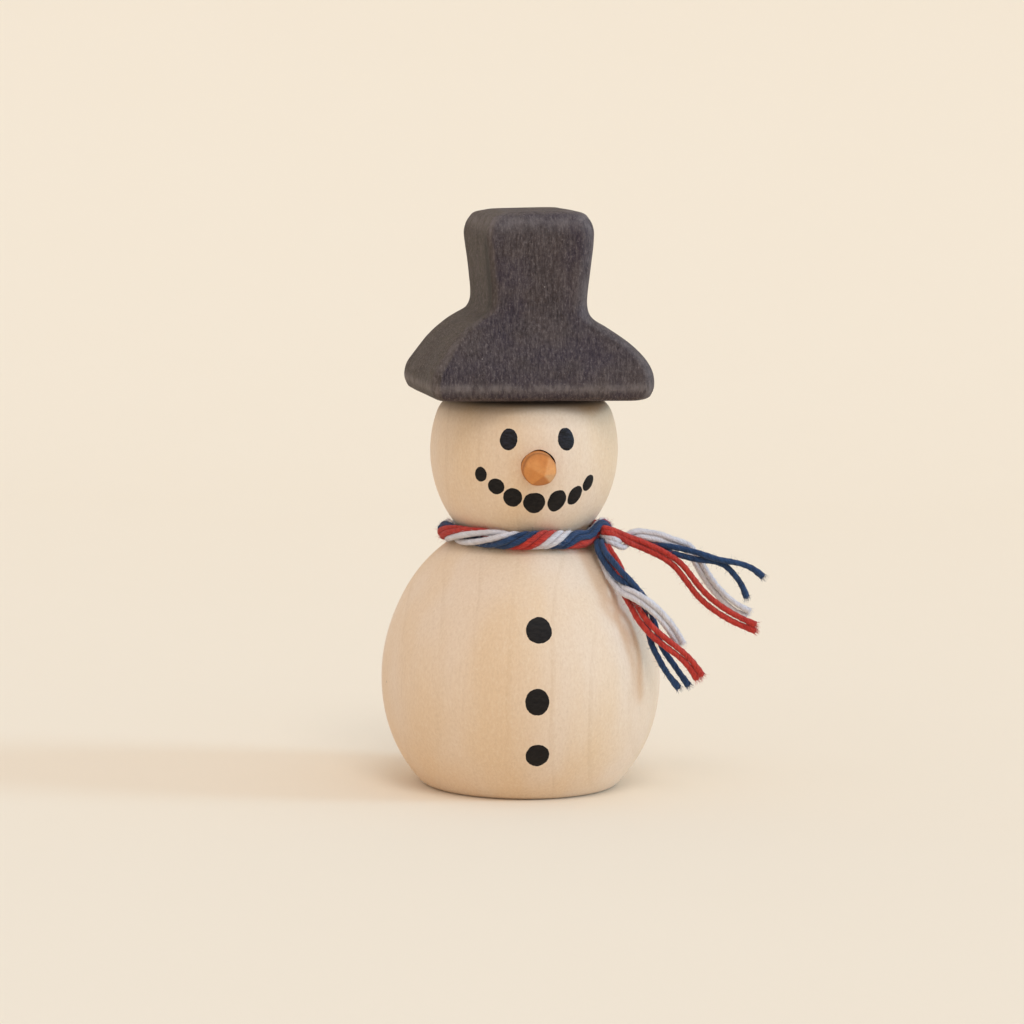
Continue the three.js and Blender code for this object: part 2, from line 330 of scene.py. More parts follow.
def maple_material():
    """Pale close-grained wood: faint ring lines, fine upright fibres, soft bands and pin specks."""
    s = Shader("maple")
    fibre = s.noise(s.place(scale=(1, 1, 0.07)), 2.6, 5, 0.7)
    grit = s.noise(s.place(scale=(1, 1, 0.6)), 2.6, 4, 0.75)
    band = s.ramp(s.noise(s.place(scale=(1, 1, 0.25)), 0.085, 2), [(0.36, 0.0), (0.64, 1.0)])
    colour = s.blend(band, rgb(0.785, 0.565, 0.36), rgb(0.80, 0.62, 0.46))
    colour = s.blend(s.math("MULTIPLY", ring_lines(s), 0.22), colour, rgb(0.56, 0.36, 0.19))
    colour = s.blend(s.ramp(fibre, [(0.40, 0.0), (0.72, 0.20)]), colour, rgb(0.62, 0.43, 0.27))
    colour = s.blend(s.ramp(grit, [(0.50, 0.0), (0.70, 0.36)]), colour, rgb(0.88, 0.74, 0.58))
    colour = s.blend(s.ramp(grit, [(0.30, 0.30), (0.48, 0.0)]), colour, rgb(0.58, 0.41, 0.27))
    spot = s.specks(s.place(scale=(1, 1, 0.7)), 0.10, [(0.0, 0.7), (0.014, 0.5), (0.022, 0.0)])
    colour = s.blend(spot, colour, rgb(0.16, 0.10, 0.06))
    # painted shade: the head darkened just under the brim, where the hat's shadow falls
    colour = s.blend(painted_brim_shade(s), colour, rgb(0.035, 0.020, 0.010))
    bump = s.bump(fibre, 0.025, 0.5)
    bump = s.bump(grit, 0.016, 0.5, bump)
    rough = s.ramp(fibre, [(0.3, 0.52), (0.7, 0.64)])
    s.feed(s.surface, "Sheen Weight", 0.10)
    s.feed(s.surface, "Sheen Roughness", 0.5)
    return s.finish(Base_Color=colour, Roughness=rough, Normal=bump, Specular_IOR_Level=0.3)


# ---- stained wood of the hat ----

def hat_material():
    """Wood under a thin dark stain: open pores, lighter edges and rims, purple clouds, painted shade beside
    the crown's front ridge and a few pale specks.
    """
    s = Shader("hat_stain")
    fibre = s.noise(s.place(scale=(1, 0.5, 0.16)), 2.6, 6, 0.8)
    pore = s.noise(s.place(scale=(1, 0.6, 0.55)), 3.4, 5, 0.8)
    cloud = s.ramp(s.noise(s.place(scale=(1, 1, 0.6)), 0.22, 4, 0.6), [(0.32, 0.0), (0.68, 1.0)])
    purple = s.ramp(s.noise(s.place(move=(7, 3, 2)), 0.16, 2), [(0.38, 0.0), (0.60, 0.75)])
    light_edge = s.noise(s.place(scale=(1, 1, 0.5)), 0.7, 5, 0.65)
    light_edge = s.math("MULTIPLY", s.attribute("edge"), s.ramp(light_edge, [(0.35, 0.15), (0.62, 0.85)]))
    colour = s.blend(cloud, rgb(0.034, 0.023, 0.022), rgb(0.066, 0.047, 0.043))
    colour = s.blend(purple, colour, rgb(0.030, 0.020, 0.031))
    colour = s.blend(s.math("MULTIPLY", s.attribute("side"), 0.7), colour, rgb(0.044, 0.031, 0.019))
    colour = s.blend(s.ramp(fibre, [(0.44, 0.0), (0.66, 0.8)]), colour, rgb(0.135, 0.106, 0.100))
    colour = s.blend(s.ramp(pore, [(0.34, 0.75), (0.47, 0.0)]), colour, rgb(0.012, 0.008, 0.009))
    colour = s.blend(s.ramp(pore, [(0.54, 0.0), (0.68, 0.8)]), colour, rgb(0.190, 0.152, 0.146))
    # lighter near the edges and rims
    colour = s.blend(light_edge, colour, rgb(0.205, 0.170, 0.160))
    # painted shade on the side of the crown, beside its front ridge
    colour = s.blend(s.math("MULTIPLY", s.attribute("painted_ridge_shade"), 0.75), colour, rgb(0.013, 0.009, 0.008))
    spot = s.specks(s.place(move=(3.3, 1.7, 0.4)), 0.26, [(0.0, 0.9), (0.022, 0.8), (0.034, 0.0)])
    colour = s.blend(spot, colour, rgb(0.42, 0.37, 0.34))
    bump = s.bump(fibre, 0.08, 0.7)
    bump = s.bump(pore, 0.10, 0.7, bump)
    rough = s.ramp(fibre, [(0.3, 0.55), (0.7, 0.7)])
    return s.finish(Base_Color=colour, Roughness=rough, Normal=bump, Specular_IOR_Level=0.16)


def nose_material():
    """Orange dye on end grain, with painted light and shade on the whittled facets: the one facing down
    darker and redder, the one facing down and right paler as if lit from the right, and a darker ring at
    the point's edge.
    """
    s = Shader("nose_dye")
    fibre = s.noise(s.place(scale=(1, 0.12, 1)), 2.4, 4, 0.6)
    cloud = s.ramp(s.noise(s.place(), 0.55, 3), [(0.35, 0.0), (0.68, 1.0)])
    colour = s.blend(cloud, rgb(0.64, 0.235, 0.058), rgb(0.74, 0.31, 0.085))
    # painted shade: the facet that faces down is darker and redder
    colour = s.blend(s.math("MULTIPLY", s.attribute("red"), 0.85), colour, rgb(0.53, 0.20, 0.06))
    # painted highlight: the facet that faces down and to the right is paler, as if lit by the window
    colour = s.blend(s.math("MULTIPLY", s.attribute("pale"), 0.9), colour, rgb(0.68, 0.37, 0.165))
    colour = s.blend(s.ramp(fibre, [(0.45, 0.0), (0.75, 0.35)]), colour, rgb(0.48, 0.18, 0.05))
    colour = s.blend(s.math("MULTIPLY", s.attribute("rim"), 0.75), colour, rgb(0.30, 0.10, 0.03))
    bump = s.bump(fibre, 0.04, 0.5)
    return s.finish(Base_Color=colour, Roughness=0.6, Normal=bump, Specular_IOR_Level=0.3)


BLUE_SHEEN_FROM_Z = 57.0  # above this height, on the eyes only, the brush marks get a painted bluish reflection


def paint_material():
    """Thin brushed black paint: satin, with fine brush marks that lie nearly level, and on the eyes a
    painted bluish reflection of the window light along the marks.
    """
    s = Shader("black_paint")
    stroke = s.noise(s.place(scale=(0.35, 0.35, 1), turn=(0, math.radians(18), 0)), 2.6, 4, 0.65)
    colour = s.ramp(stroke, [(0.3, rgb(0.004, 0.003, 0.003)), (0.75, rgb(0.020, 0.016, 0.014))])
    # painted reflection: the eyes' brush marks tinted blue as if catching the cool window light
    on_eyes = s.math("GREATER_THAN", s.height(), BLUE_SHEEN_FROM_Z)
    blue_sheen = s.ramp(stroke, [(0.40, 0.0), (0.74, 0.6)])
    colour = s.blend(s.math("MULTIPLY", on_eyes, blue_sheen), colour, rgb(0.030, 0.033, 0.055))
    bump = s.bump(stroke, 0.10, 0.8)
    rough = s.ramp(stroke, [(0.3, 0.38), (0.7, 0.58)])
    return s.finish(Base_Color=colour, Roughness=rough, Normal=bump, Specular_IOR_Level=0.16)


def cotton_material(name, dark, light):
    """Cotton thread: fine fibres that run round it in a steep helix."""
    s = Shader(name)
    lie = s.tree.nodes.new("ShaderNodeAttribute")
    lie.attribute_name = "fibre"
    stretch = s.tree.nodes.new("ShaderNodeMapping")
    stretch.inputs["Scale"].default_value = (1.0, 1.0, 0.12)
    s.tree.links.new(lie.outputs["Vector"], stretch.inputs["Vector"])
    fibre = s.noise(stretch.outputs[0], 4.6, 5, 0.7)
    tuft = s.noise(s.place(), 1.1, 3, 0.6)
    colour = s.blend(s.ramp(fibre, [(0.39, 0.0), (0.61, 1.0)]), rgb(*dark), rgb(*light))
    colour = s.blend(s.ramp(tuft, [(0.4, 0.0), (0.75, 0.3)]), colour, rgb(*dark))
    bump = s.bump(fibre, 0.24, 1.0)
    s.feed(s.surface, "Sheen Weight", 0.16)
    s.feed(s.surface, "Sheen Roughness", 0.5)
    return s.finish(Base_Color=colour, Roughness=0.85, Normal=bump, Specular_IOR_Level=0.15)


MAPLE = maple_material()
HAT_STAIN = hat_material()
NOSE_DYE = nose_material()
PAINT = paint_material()
COTTON = {
    "red": cotton_material("twine_red", (0.32, 0.012, 0.010), (0.83, 0.080, 0.050)),
    "white": cotton_material("twine_white", (0.60, 0.54, 0.56), (0.95, 0.92, 0.93)),
    "blue": cotton_material("twine_blue", (0.006, 0.014, 0.046), (0.042, 0.105, 0.245)),
}


# ---- body and head ----

SANDING = 0.10  # greatest unevenness of the sanded wood
BODY_SIDES = 256
CORNER_STEPS = 8


def rise(radius, widest, half_height):
    return half_height * math.sqrt(1 - (radius / widest) ** 2)


NECK_Z = BODY_WIDEST_Z + rise(NECK_RADIUS, BODY_RADIUS, BODY_UPPER)
HEAD_Z = NECK_Z + rise(NECK_RADIUS, HEAD_RADIUS, HEAD_HALF_HEIGHT)


def turned_radius(z):
    """Radius of the turned surface at a height between the base and the seat of the hat."""
    if z < NECK_Z:
        half = BODY_LOWER if z < BODY_WIDEST_Z else BODY_UPPER
        return BODY_RADIUS * math.sqrt(max(0.0, 1 - ((z - BODY_WIDEST_Z) / half) ** 2))
    return HEAD_RADIUS * math.sqrt(max(0.0, 1 - ((z - HEAD_Z) / HEAD_HALF_HEIGHT) ** 2))


def sanded(angle, z):
    """Small unevenness of the hand-sanded surface, in millimetres."""
    place = Vector((2.2 * math.cos(angle), 2.2 * math.sin(angle), z / 9))
    return SANDING * noise.noise(place)


def skin(angle, z, lift=0.0):
    """A point on the turned surface, lifted off it by a small distance."""
    radius = turned_radius(z)
    slope = (turned_radius(z + 0.05) - turned_radius(z - 0.05)) / 0.1
    out = Vector((math.cos(angle), math.sin(angle), -slope)).normalized()
    return ring_point(radius, angle, z) + out * (lift + sanded(angle, z))


def lean_at(z):
    """How far the turned side leans from upright, as an angle."""
    return math.atan(abs(turned_radius(z + 0.05) - turned_radius(z - 0.05)) / 0.1)


def round_start(flat_z, size, up):
    """Height where a round of this size, tangent to a flat end, leaves the turned side."""
    z = flat_z - up * size
    for _ in range(8):
        z = flat_z - up * size * (1 - math.sin(lean_at(z)))
    return z


def round_corner(flat_z, size, up):
    """(radius, z) points of the round between the turned side and a flat end."""
    start = round_start(flat_z, size, up)
    lean = lean_at(start)
    points = []
    for i in range(1, CORNER_STEPS + 1):
        turn = mix(lean, math.pi / 2, i / CORNER_STEPS)
        inward = size * (math.cos(lean) - math.cos(turn))
        onward = size * (math.sin(turn) - math.sin(lean))
        points.append((turned_radius(start) - inward, start + up * onward))
    return points


def flat_end(radius, z):
    """(radius, z) points from the edge of a flat end to its middle."""
    return [(share * radius, z) for share in (0.96, 0.85, 0.6, 0.3, 0.08)]


def body_rings():
    """(radius, z, share of sanding) of the body's rings, from the middle of its base to the seat's."""
    foot_z = round_start(0.0, BASE_ROUND, -1)
    seat_z = round_start(SEAT_Z, SEAT_ROUND, 1)
    heights = [mix(foot_z, NECK_Z, i / 120) for i in range(121)]
    heights += [mix(NECK_Z, seat_z, i / 70) for i in range(1, 71)]
    bottom = round_corner(0.0, BASE_ROUND, -1)
    bottom += flat_end(*bottom[-1])
    top = round_corner(SEAT_Z, SEAT_ROUND, 1)
    top += flat_end(*top[-1])
    rings = [(radius, z, 0.0) for radius, z in reversed(bottom)]
    for z in heights:
        fade = smooth_step((z - foot_z) / 2) * smooth_step((seat_z - z) / 2)
        rings.append((turned_radius(z), z, fade))
    return rings + [(radius, z, 0.0) for radius, z in top]


def make_body():
    rings = body_rings()
    points = []
    for radius, z, fade in rings:
        for j in range(BODY_SIDES):
            angle = TAU * j / BODY_SIDES
            points.append(ring_point(radius + fade * sanded(angle, z), angle, z))
    faces = ring_faces(len(rings), BODY_SIDES) + end_caps(len(rings), BODY_SIDES)
    body = make_object("snowman_body", points, faces, MAPLE)
    subtract(body, make_nose_hole())
    body.data.polygons.foreach_set("use_smooth", [True] * len(body.data.polygons))
    body.data.set_sharp_from_angle(angle=math.radians(35))
    return body


# ---- nose ----

def nose_matrix():
    """From the nose's own frame, +Z out of the face and 0 where the dowel leaves the wood."""
    move = Matrix.Translation((0, -HEAD_RADIUS, NOSE_Z))
    return move @ Matrix.Rotation(math.pi / 2 + NOSE_DROOP, 4, "X")


def make_nose_hole():
    """A cutter for the drilled hole, a little ragged and off the dowel's middle."""
    sides = 64
    points = []
    for z in (-NOSE_HOLE_DEPTH, 2.0):
        for j in range(sides):
            a = TAU * j / sides
            radius = NOSE_HOLE + 0.05 * math.sin(2 * a + 0.5) + 0.05 * math.sin(5 * a)
            x = radius * math.cos(a) + NOSE_HOLE_SHIFT[0]
            y = radius * math.sin(a) + NOSE_HOLE_SHIFT[1]
            points.append(nose_matrix() @ Vector((x, y, z)))
    return make_object("nose_hole", points, ring_faces(2, sides) + end_caps(2, sides), MAPLE)


# Whittled facets of the nose's point: (direction round the dowel in degrees, slope, height above the apex).
NOSE_FACETS = {
    "top": (118, 0.92, 0.0),
    "left": (205, 1.15, 0.1),
    "low": (275, 1.45, 0.0),
    "pale": (322, 1.2, 0.0),
    "right": (20, 1.1, 0.15),
}
NOSE_DEPTH = 5.0  # how far the dowel goes into the wood
NOSE_TIP = 4.9
NOSE_APEX = (0.35, -0.45)
FACET_SOFTNESS = 0.10


def facet_shares(x, y):
    """The whittled point's height over the dowel's section, and how much each facet owns of it."""
    weights = {}
    for name, (direction, slope, lift) in NOSE_FACETS.items():
        a = math.radians(direction)
        away = (x - NOSE_APEX[0]) * math.cos(a) + (y - NOSE_APEX[1]) * math.sin(a)
        weights[name] = math.exp(-(NOSE_TIP + lift - slope * away) / FACET_SOFTNESS)
    total = sum(weights.values())
    return -FACET_SOFTNESS * math.log(total), {name: weight / total for name, weight in weights.items()}


def make_nose():
    sides = 96
    rings = 36
    angles = [TAU * j / sides for j in range(sides)]
    points = []
    tints = {"red": [], "pale": [], "rim": []}
    for z in (-NOSE_DEPTH, -2.0, 0.0):
        points += [ring_point(NOSE_RADIUS, a, z) for a in angles]
    for key in tints:
        tints[key] += [0.0] * len(points)
    for i in range(rings + 1):
        radius = NOSE_RADIUS * (1 - (i / rings) ** 1.6)
        for a in angles if i < rings else angles[:1]:
            x = radius * math.cos(a)
            y = radius * math.sin(a)
            height, shares = facet_shares(x, y)
            edge = math.exp(-((NOSE_RADIUS - radius) / 0.14))
            points.append(Vector((x, y, height - 0.3 * edge)))
            # the down and down-right facets' shares carry painted shade and a painted highlight to the
            # nose's material
            tints["red"].append(shares["low"])
            tints["pale"].append(shares["pale"])
            tints["rim"].append(edge)
    faces = ring_faces(3 + rings, sides)
    faces.append(tuple(reversed(range(sides))))
    last = (2 + rings) * sides
    for j in range(sides):
        faces.append((last + j, last + (j + 1) % sides, len(points) - 1))
    nose = make_object("snowman_nose", [nose_matrix() @ p for p in points], faces, NOSE_DYE)
    for name, values in tints.items():
        float_attribute(nose, name, values)
    return nose


# ---- painted marks ----

# (degrees round from the nose towards the snowman's left, height, half width, half height, lean in degrees)
EYES = ((-18.0, 60.1, 1.47, 1.81, 4), (17.7, 60.1, 1.5, 1.9, -2))
MOUTH = (
    (-35.6, 54.1, 1.1, 1.25, 10),
    (-25.8, 52.2, 1.42, 1.38, 10),
    (-15.4, 50.4, 1.58, 1.72, 5),
    (-1.3, 49.5, 1.83, 1.9, 0),
    (14.0, 49.8, 1.6, 2.0, 14),
    (26.8, 50.6, 1.3, 1.75, 22),
    (36.0, 52.6, 1.1, 1.45, 22),
)
BUTTONS = ((-0.8, 29.3, 2.15, 2.27, 0), (-1.7, 17.7, 1.98, 2.2, 0), (-0.8, 8.5, 1.95, 2.1, 0))
PAINT_THICKNESS = 0.05
PAINT_ROOT = 0.25  # how far the film's closed back lies inside the wood
PAINT_LOPSIDED = 0.05  # shares of a mark's half size
PAINT_RAGGED = 0.035


def paint_mark(angle, height, half_width, half_height, lean, seed):
    """A closed film of paint that follows the turned surface, with a hand-painted edge."""
    sides = 64
    levels = (0.0, 0.35, 0.65, 0.85, 0.95, 1.0)
    middle = math.radians(angle - 90)
    tilt = math.radians(lean)
    slope = (turned_radius(height + 0.5) - turned_radius(height - 0.5))
    stretch = math.sqrt(1 + slope ** 2)
    radius = turned_radius(height)

    def spot(share, j, lift):
        a = TAU * j / sides
        ragged = 1 + PAINT_LOPSIDED * noise.noise(ring_point(1.3, a, seed))
        ragged += PAINT_RAGGED * noise.noise(ring_point(5, a, seed + 9))
        u = share * ragged * half_width * math.cos(a)
        v = share * ragged * half_height * math.sin(a)
        across = u * math.cos(tilt) + v * math.sin(tilt)
        upward = -u * math.sin(tilt) + v * math.cos(tilt)
        z = height + upward / stretch
        return skin(middle + across / radius, z, lift)

    points = [spot(0.0, 0, PAINT_THICKNESS)]
    for share in levels[1:]:
        lift = PAINT_THICKNESS * (1 - share ** 8)
        points += [spot(share, j, lift) for j in range(sides)]
    points += [spot(1.0, j, -PAINT_ROOT) for j in range(sides)]
    faces = [(0, 1 + j, 1 + (j + 1) % sides) for j in range(sides)]
    faces += ring_faces(len(levels), sides, 1)
    last = 1 + (len(levels) - 1) * sides
    faces.append(tuple(last + j for j in reversed(range(sides))))
    return points, faces


def make_paint(name, marks, seed):
    points = []
    faces = []
    for n, mark in enumerate(marks):
        mark_points, mark_faces = paint_mark(*mark, seed + 3.7 * n)
        first = len(points)
        points += mark_points
        faces += [tuple(first + i for i in f) for f in mark_faces]
    thing = make_object(name, points, faces, PAINT)
    mesh = bmesh.new()
    mesh.from_mesh(thing.data)
    bmesh.ops.recalc_face_normals(mesh, faces=mesh.faces)
    mesh.to_mesh(thing.data)
    mesh.free()
    thing.data.set_sharp_from_angle(angle=math.radians(50))
    return thing


# ---- hat ----

# Half sizes up the hat, (height, right, left, front and back): rim, sloping brim, waist, crown.
HAT_PROFILE = (
    (0.0, 17.1, 17.0, 12.3),
    (0.25, 17.8, 17.7, 13.0),
    (0.7, 18.4, 18.3, 13.6),
    (2.4, 18.98, 18.8, 14.15),
    (4.6, 18.75, 18.4, 13.95),
    (6.8, 17.6, 17.0, 13.3),
    (9.4, 15.0, 15.2, 12.5),
    (12.0, 11.3, 12.6, 11.8),
    (13.2, 9.3, 10.8, 11.5),
    (14.3, 8.4, 9.0, 11.3),
    (16.4, 8.05, 8.3, 11.15),
    (22.4, 8.6, 8.85, 11.4),
    (26.9, 8.95, 9.38, 11.6),
    (28.6, 8.7, 9.15, 11.4),
    (29.8, 8.15, 8.6, 10.8),
    (30.6, 7.4, 7.8, 10.0),
    (31.05, 5.8, 6.0, 8.2),
)
HAT_HEIGHT = HAT_PROFILE[-1][0]
CROWN_SLOPE = 0.03  # the top of the crown rises a little to one side
BRIM_CORNER = 2.4  # radius, seen from above
BRIM_RIDGE = 1.5  # the same for the front corner on the snowman's right, left sharper by the saw
CROWN_CORNER = 2.9
CROWN_RIDGE = 1.2
RIDGE_SHADE_BACK = 2.6  # a dark band of painted shade on the side of the crown, behind its front ridge
RIDGE_SHADE_WIDTH = 2.0
HAT_WAVER = 0.16  # slow unevenness of its sanded sides
HAT_RIPPLE = 0.05


def on_corner(x, y, radius, angle):
    """A point on the round of the corner whose sides would meet at x, y."""
    middle_x = x - math.copysign(radius, x)
    middle_y = y - math.copysign(radius, y)
    return middle_x + radius * math.cos(angle), middle_y + radius * math.sin(angle)


def rounded_section(right, left, depth, corners, per_corner, per_side):
    """Points round a rectangle with round corners, with how near each is to a corner."""
    points = []
    places = ((right, -depth), (right, depth), (-left, depth), (-left, -depth))
    for n, ((x, y), radius) in enumerate(zip(places, corners)):
        for i in range(per_corner + 1):
            angle = math.radians(90 * (n - 1 + i / per_corner))
            points.append((*on_corner(x, y, radius, angle), math.sin(math.pi * i / per_corner)))
        after = (n + 1) % 4
        start = points[-1]
        target = on_corner(*places[after], corners[after], math.radians(90 * n))
        for i in range(1, per_side):
            t = i / per_side
            points.append((mix(start[0], target[0], t), mix(start[1], target[1], t), 0.0))
    return points


def hat_matrix():
    turned = Matrix.Rotation(HAT_TURN, 4, "Z")
    return Matrix.Translation((0, 0, SEAT_Z)) @ turned @ Matrix.Translation((0, -HAT_FORWARD, 0))


def hat_levels():
    """Heights of the hat's rings, closer together where its outline turns quickly."""
    rim = [0.0, 0.06, 0.14, 0.25, 0.4, 0.6, 0.85, 1.2, 1.6, 2.0, 2.5]
    side = [mix(2.9, 28.0, i / 84) for i in range(85)]
    top = [HAT_HEIGHT * (1 - 0.09 * (1 - i / 14) ** 2) for i in range(1, 15)]
    return rim + side + top


def hat_point(x, y, z):
    """A spot on the hat's side, with the unevenness that sanding left and the slope of the crown."""
    place = Vector((x, y, z))
    uneven = HAT_WAVER * noise.noise(place * 0.16) + HAT_RIPPLE * noise.noise(place * 0.5)
    lifted = z + CROWN_SLOPE * x * smooth_step((z - 12) / 18)
    return Vector((x, y, lifted)) + Vector((x, y, 0)).normalized() * uneven


def hat_marks(x, y, z, left, depth, nearness, on_crown):
    """How much lighter a spot is near edges and rims, how much painted shade it takes beside the crown's
    front ridge, and whether it is on the end, from 0 to 1.
    """
    rim = math.exp(-(((z - 2.2) / 0.7) ** 2)) + 0.6 * math.exp(-(((z - 29.4) / 1.3) ** 2))
    edge = min(1.0, mix(0.55, 0.45, on_crown) * nearness + 0.9 * rim)
    on_end = x < -0.93 * left
    beside = math.exp(-(((y + depth - RIDGE_SHADE_BACK) / RIDGE_SHADE_WIDTH) ** 2)) if on_end else 0.0
    painted_ridge_shade = beside * smooth_step((z - 12) / 5) * smooth_step((29 - z) / 4)
    return {"edge": edge, "painted_ridge_shade": painted_ridge_shade, "side": 1.0 if on_end else 0.0}


def close_ring(points, faces, first, sides, below):
    """Closes the ring of points that starts at first with ever smaller rings."""
    edge = points[first : first + sides]
    centre = sum(edge, Vector()) / sides
    outer = list(range(first, first + sides))
    for share in (0.85, 0.6, 0.3, 0.05):
        inner = list(range(len(points), len(points) + sides))
        points += [centre + (p - centre) * share for p in edge]
        for j in range(sides):
            k = (j + 1) % sides
            quad = (outer[j], outer[k], inner[k], inner[j])
            faces.append(tuple(reversed(quad)) if below else quad)
        outer = inner
    faces.append(tuple(reversed(outer)) if below else tuple(outer))


def make_hat():
    levels = hat_levels()
    points = []
    marks = {"edge": [], "painted_ridge_shade": [], "side": []}
    for z in levels:
        right, left, depth = spline(HAT_PROFILE, z)
        on_crown = smooth_step((z - 7) / 6)
        corner = mix(BRIM_CORNER, CROWN_CORNER, on_crown)
        corners = (corner, corner, corner, mix(BRIM_RIDGE, CROWN_RIDGE, on_crown))
        for x, y, nearness in rounded_section(right, left, depth, corners, 14, 22):
            points.append(hat_point(x, y, z))
            for name, value in hat_marks(x, y, z, left, depth, nearness, on_crown).items():
                marks[name].append(value)
    sides = len(points) // len(levels)
    faces = ring_faces(len(levels), sides)
    close_ring(points, faces, 0, sides, below=True)
    close_ring(points, faces, (len(levels) - 1) * sides, sides, below=False)
    hat = make_object("snowman_hat", [hat_matrix() @ p for p in points], faces, HAT_STAIN)
    for name, values in marks.items():
        float_attribute(hat, name, values + [0.0] * (len(points) - len(values)))
    return hat


# ---- scarf: six cotton threads laid as one twine, tied with a half knot ----
# Its frame is turned with the knot: X to the snowman's left, Y away from the viewer.
# A tail's rows are the middle of a pair of threads and how far one of them is from it.

THREAD = 1.0  # diameter
THREAD_STEP = 0.35  # between two rings of a thread's mesh
STRAND_RADIUS = 1.05  # from the middle of the twine to the middle of a thread
COLOURS = ("blue", "red", "white")
UPPER_TAILS = {
    "blue": (
        ((14.4, -6.3, 43.8), (-0.2, -0.1, 0.3)),
        ((16.6, -4.2, 42.7), (-0.3, -0.2, 0.3)),
        ((19.4, -3.7, 42.4), (-0.3, -0.1, 0.5)),
        ((22.4, -4.0, 41.4), (-0.2, 0.1, 0.4)),
        ((25.7, -4.7, 40.7), (-0.2, 0.1, 0.6)),
        ((29.2, -5.0, 39.9), (0.1, -0.1, 0.6)),
        ((32.6, -5.1, 39.2), (-0.1, -0.5, 0.3)),
        ((34.5, -4.9, 38.6), (0.1, -0.4, 0.5)),
        ((36.3, -4.8, 37.6), (0.4, -0.2, 1.1)),
        ((37.8, -4.8, 36.5), (0.8, -0.2, 1.5)),
        ((39.1, -4.8, 34.8), (1.3, -0.2, 1.8)),
    ),
    "red": (
        ((13.5, -8.1, 44.4), (-0.1, 0.1, 0.2)),
        ((15.0, -7.5, 43.9), (-0.1, 0.0, 0.3)),
        ((16.8, -6.3, 42.9), (-0.1, -0.1, 0.3)),
        ((19.0, -5.6, 42.1), (0.0, 0.0, 0.3)),
        ((21.9, -5.4, 40.9), (0.3, 0.0, 0.3)),
        ((24.5, -5.4, 39.6), (0.6, 0.0, 0.2)),
        ((26.4, -5.5, 38.1), (0.6, 0.0, 0.2)),
        ((28.3, -5.6, 35.7), (0.6, 0.0, 0.2)),
        ((30.3, -5.8, 33.3), (0.6, 0.0, 0.3)),
        ((33.2, -5.9, 31.0), (0.5, 0.0, 0.4)),
        ((36.2, -6.0, 29.3), (0.3, 0.0, 0.5)),
        ((39.3, -6.0, 28.0), (0.0, 0.0, 0.5)),
    ),
    "white": (
        ((13.8, -7.8, 43.3), (-0.1, 0.0, 0.3)),
        ((15.3, -7.6, 42.6), (-0.1, 0.0, 0.6)),
        ((16.9, -6.2, 41.9), (-0.3, -0.2, 0.7)),
        ((17.8, -4.9, 43.0), (-0.3, -0.2, 0.4)),
        ((19.2, -4.6, 43.5), (-0.2, 0.0, 0.4)),
        ((21.7, -4.2, 43.0), (0.0, 0.0, 0.4)),
        ((24.7, -3.8, 42.1), (0.1, 0.0, 0.4)),
        ((27.4, -2.7, 41.3), (0.2, -0.1, 0.4)),
        ((29.3, -0.4, 39.0), (0.2, -0.2, 0.5)),
        ((30.9, 1.2, 36.1), (0.3, -0.2, 0.5)),
        ((33.2, 2.4, 33.0), (0.3, -0.2, 0.4)),
        ((36.2, 3.4, 30.2), (0.3, -0.2, 0.5)),
        ((38.5, 4.2, 28.9), (0.3, -0.2, 0.5)),
    ),
}
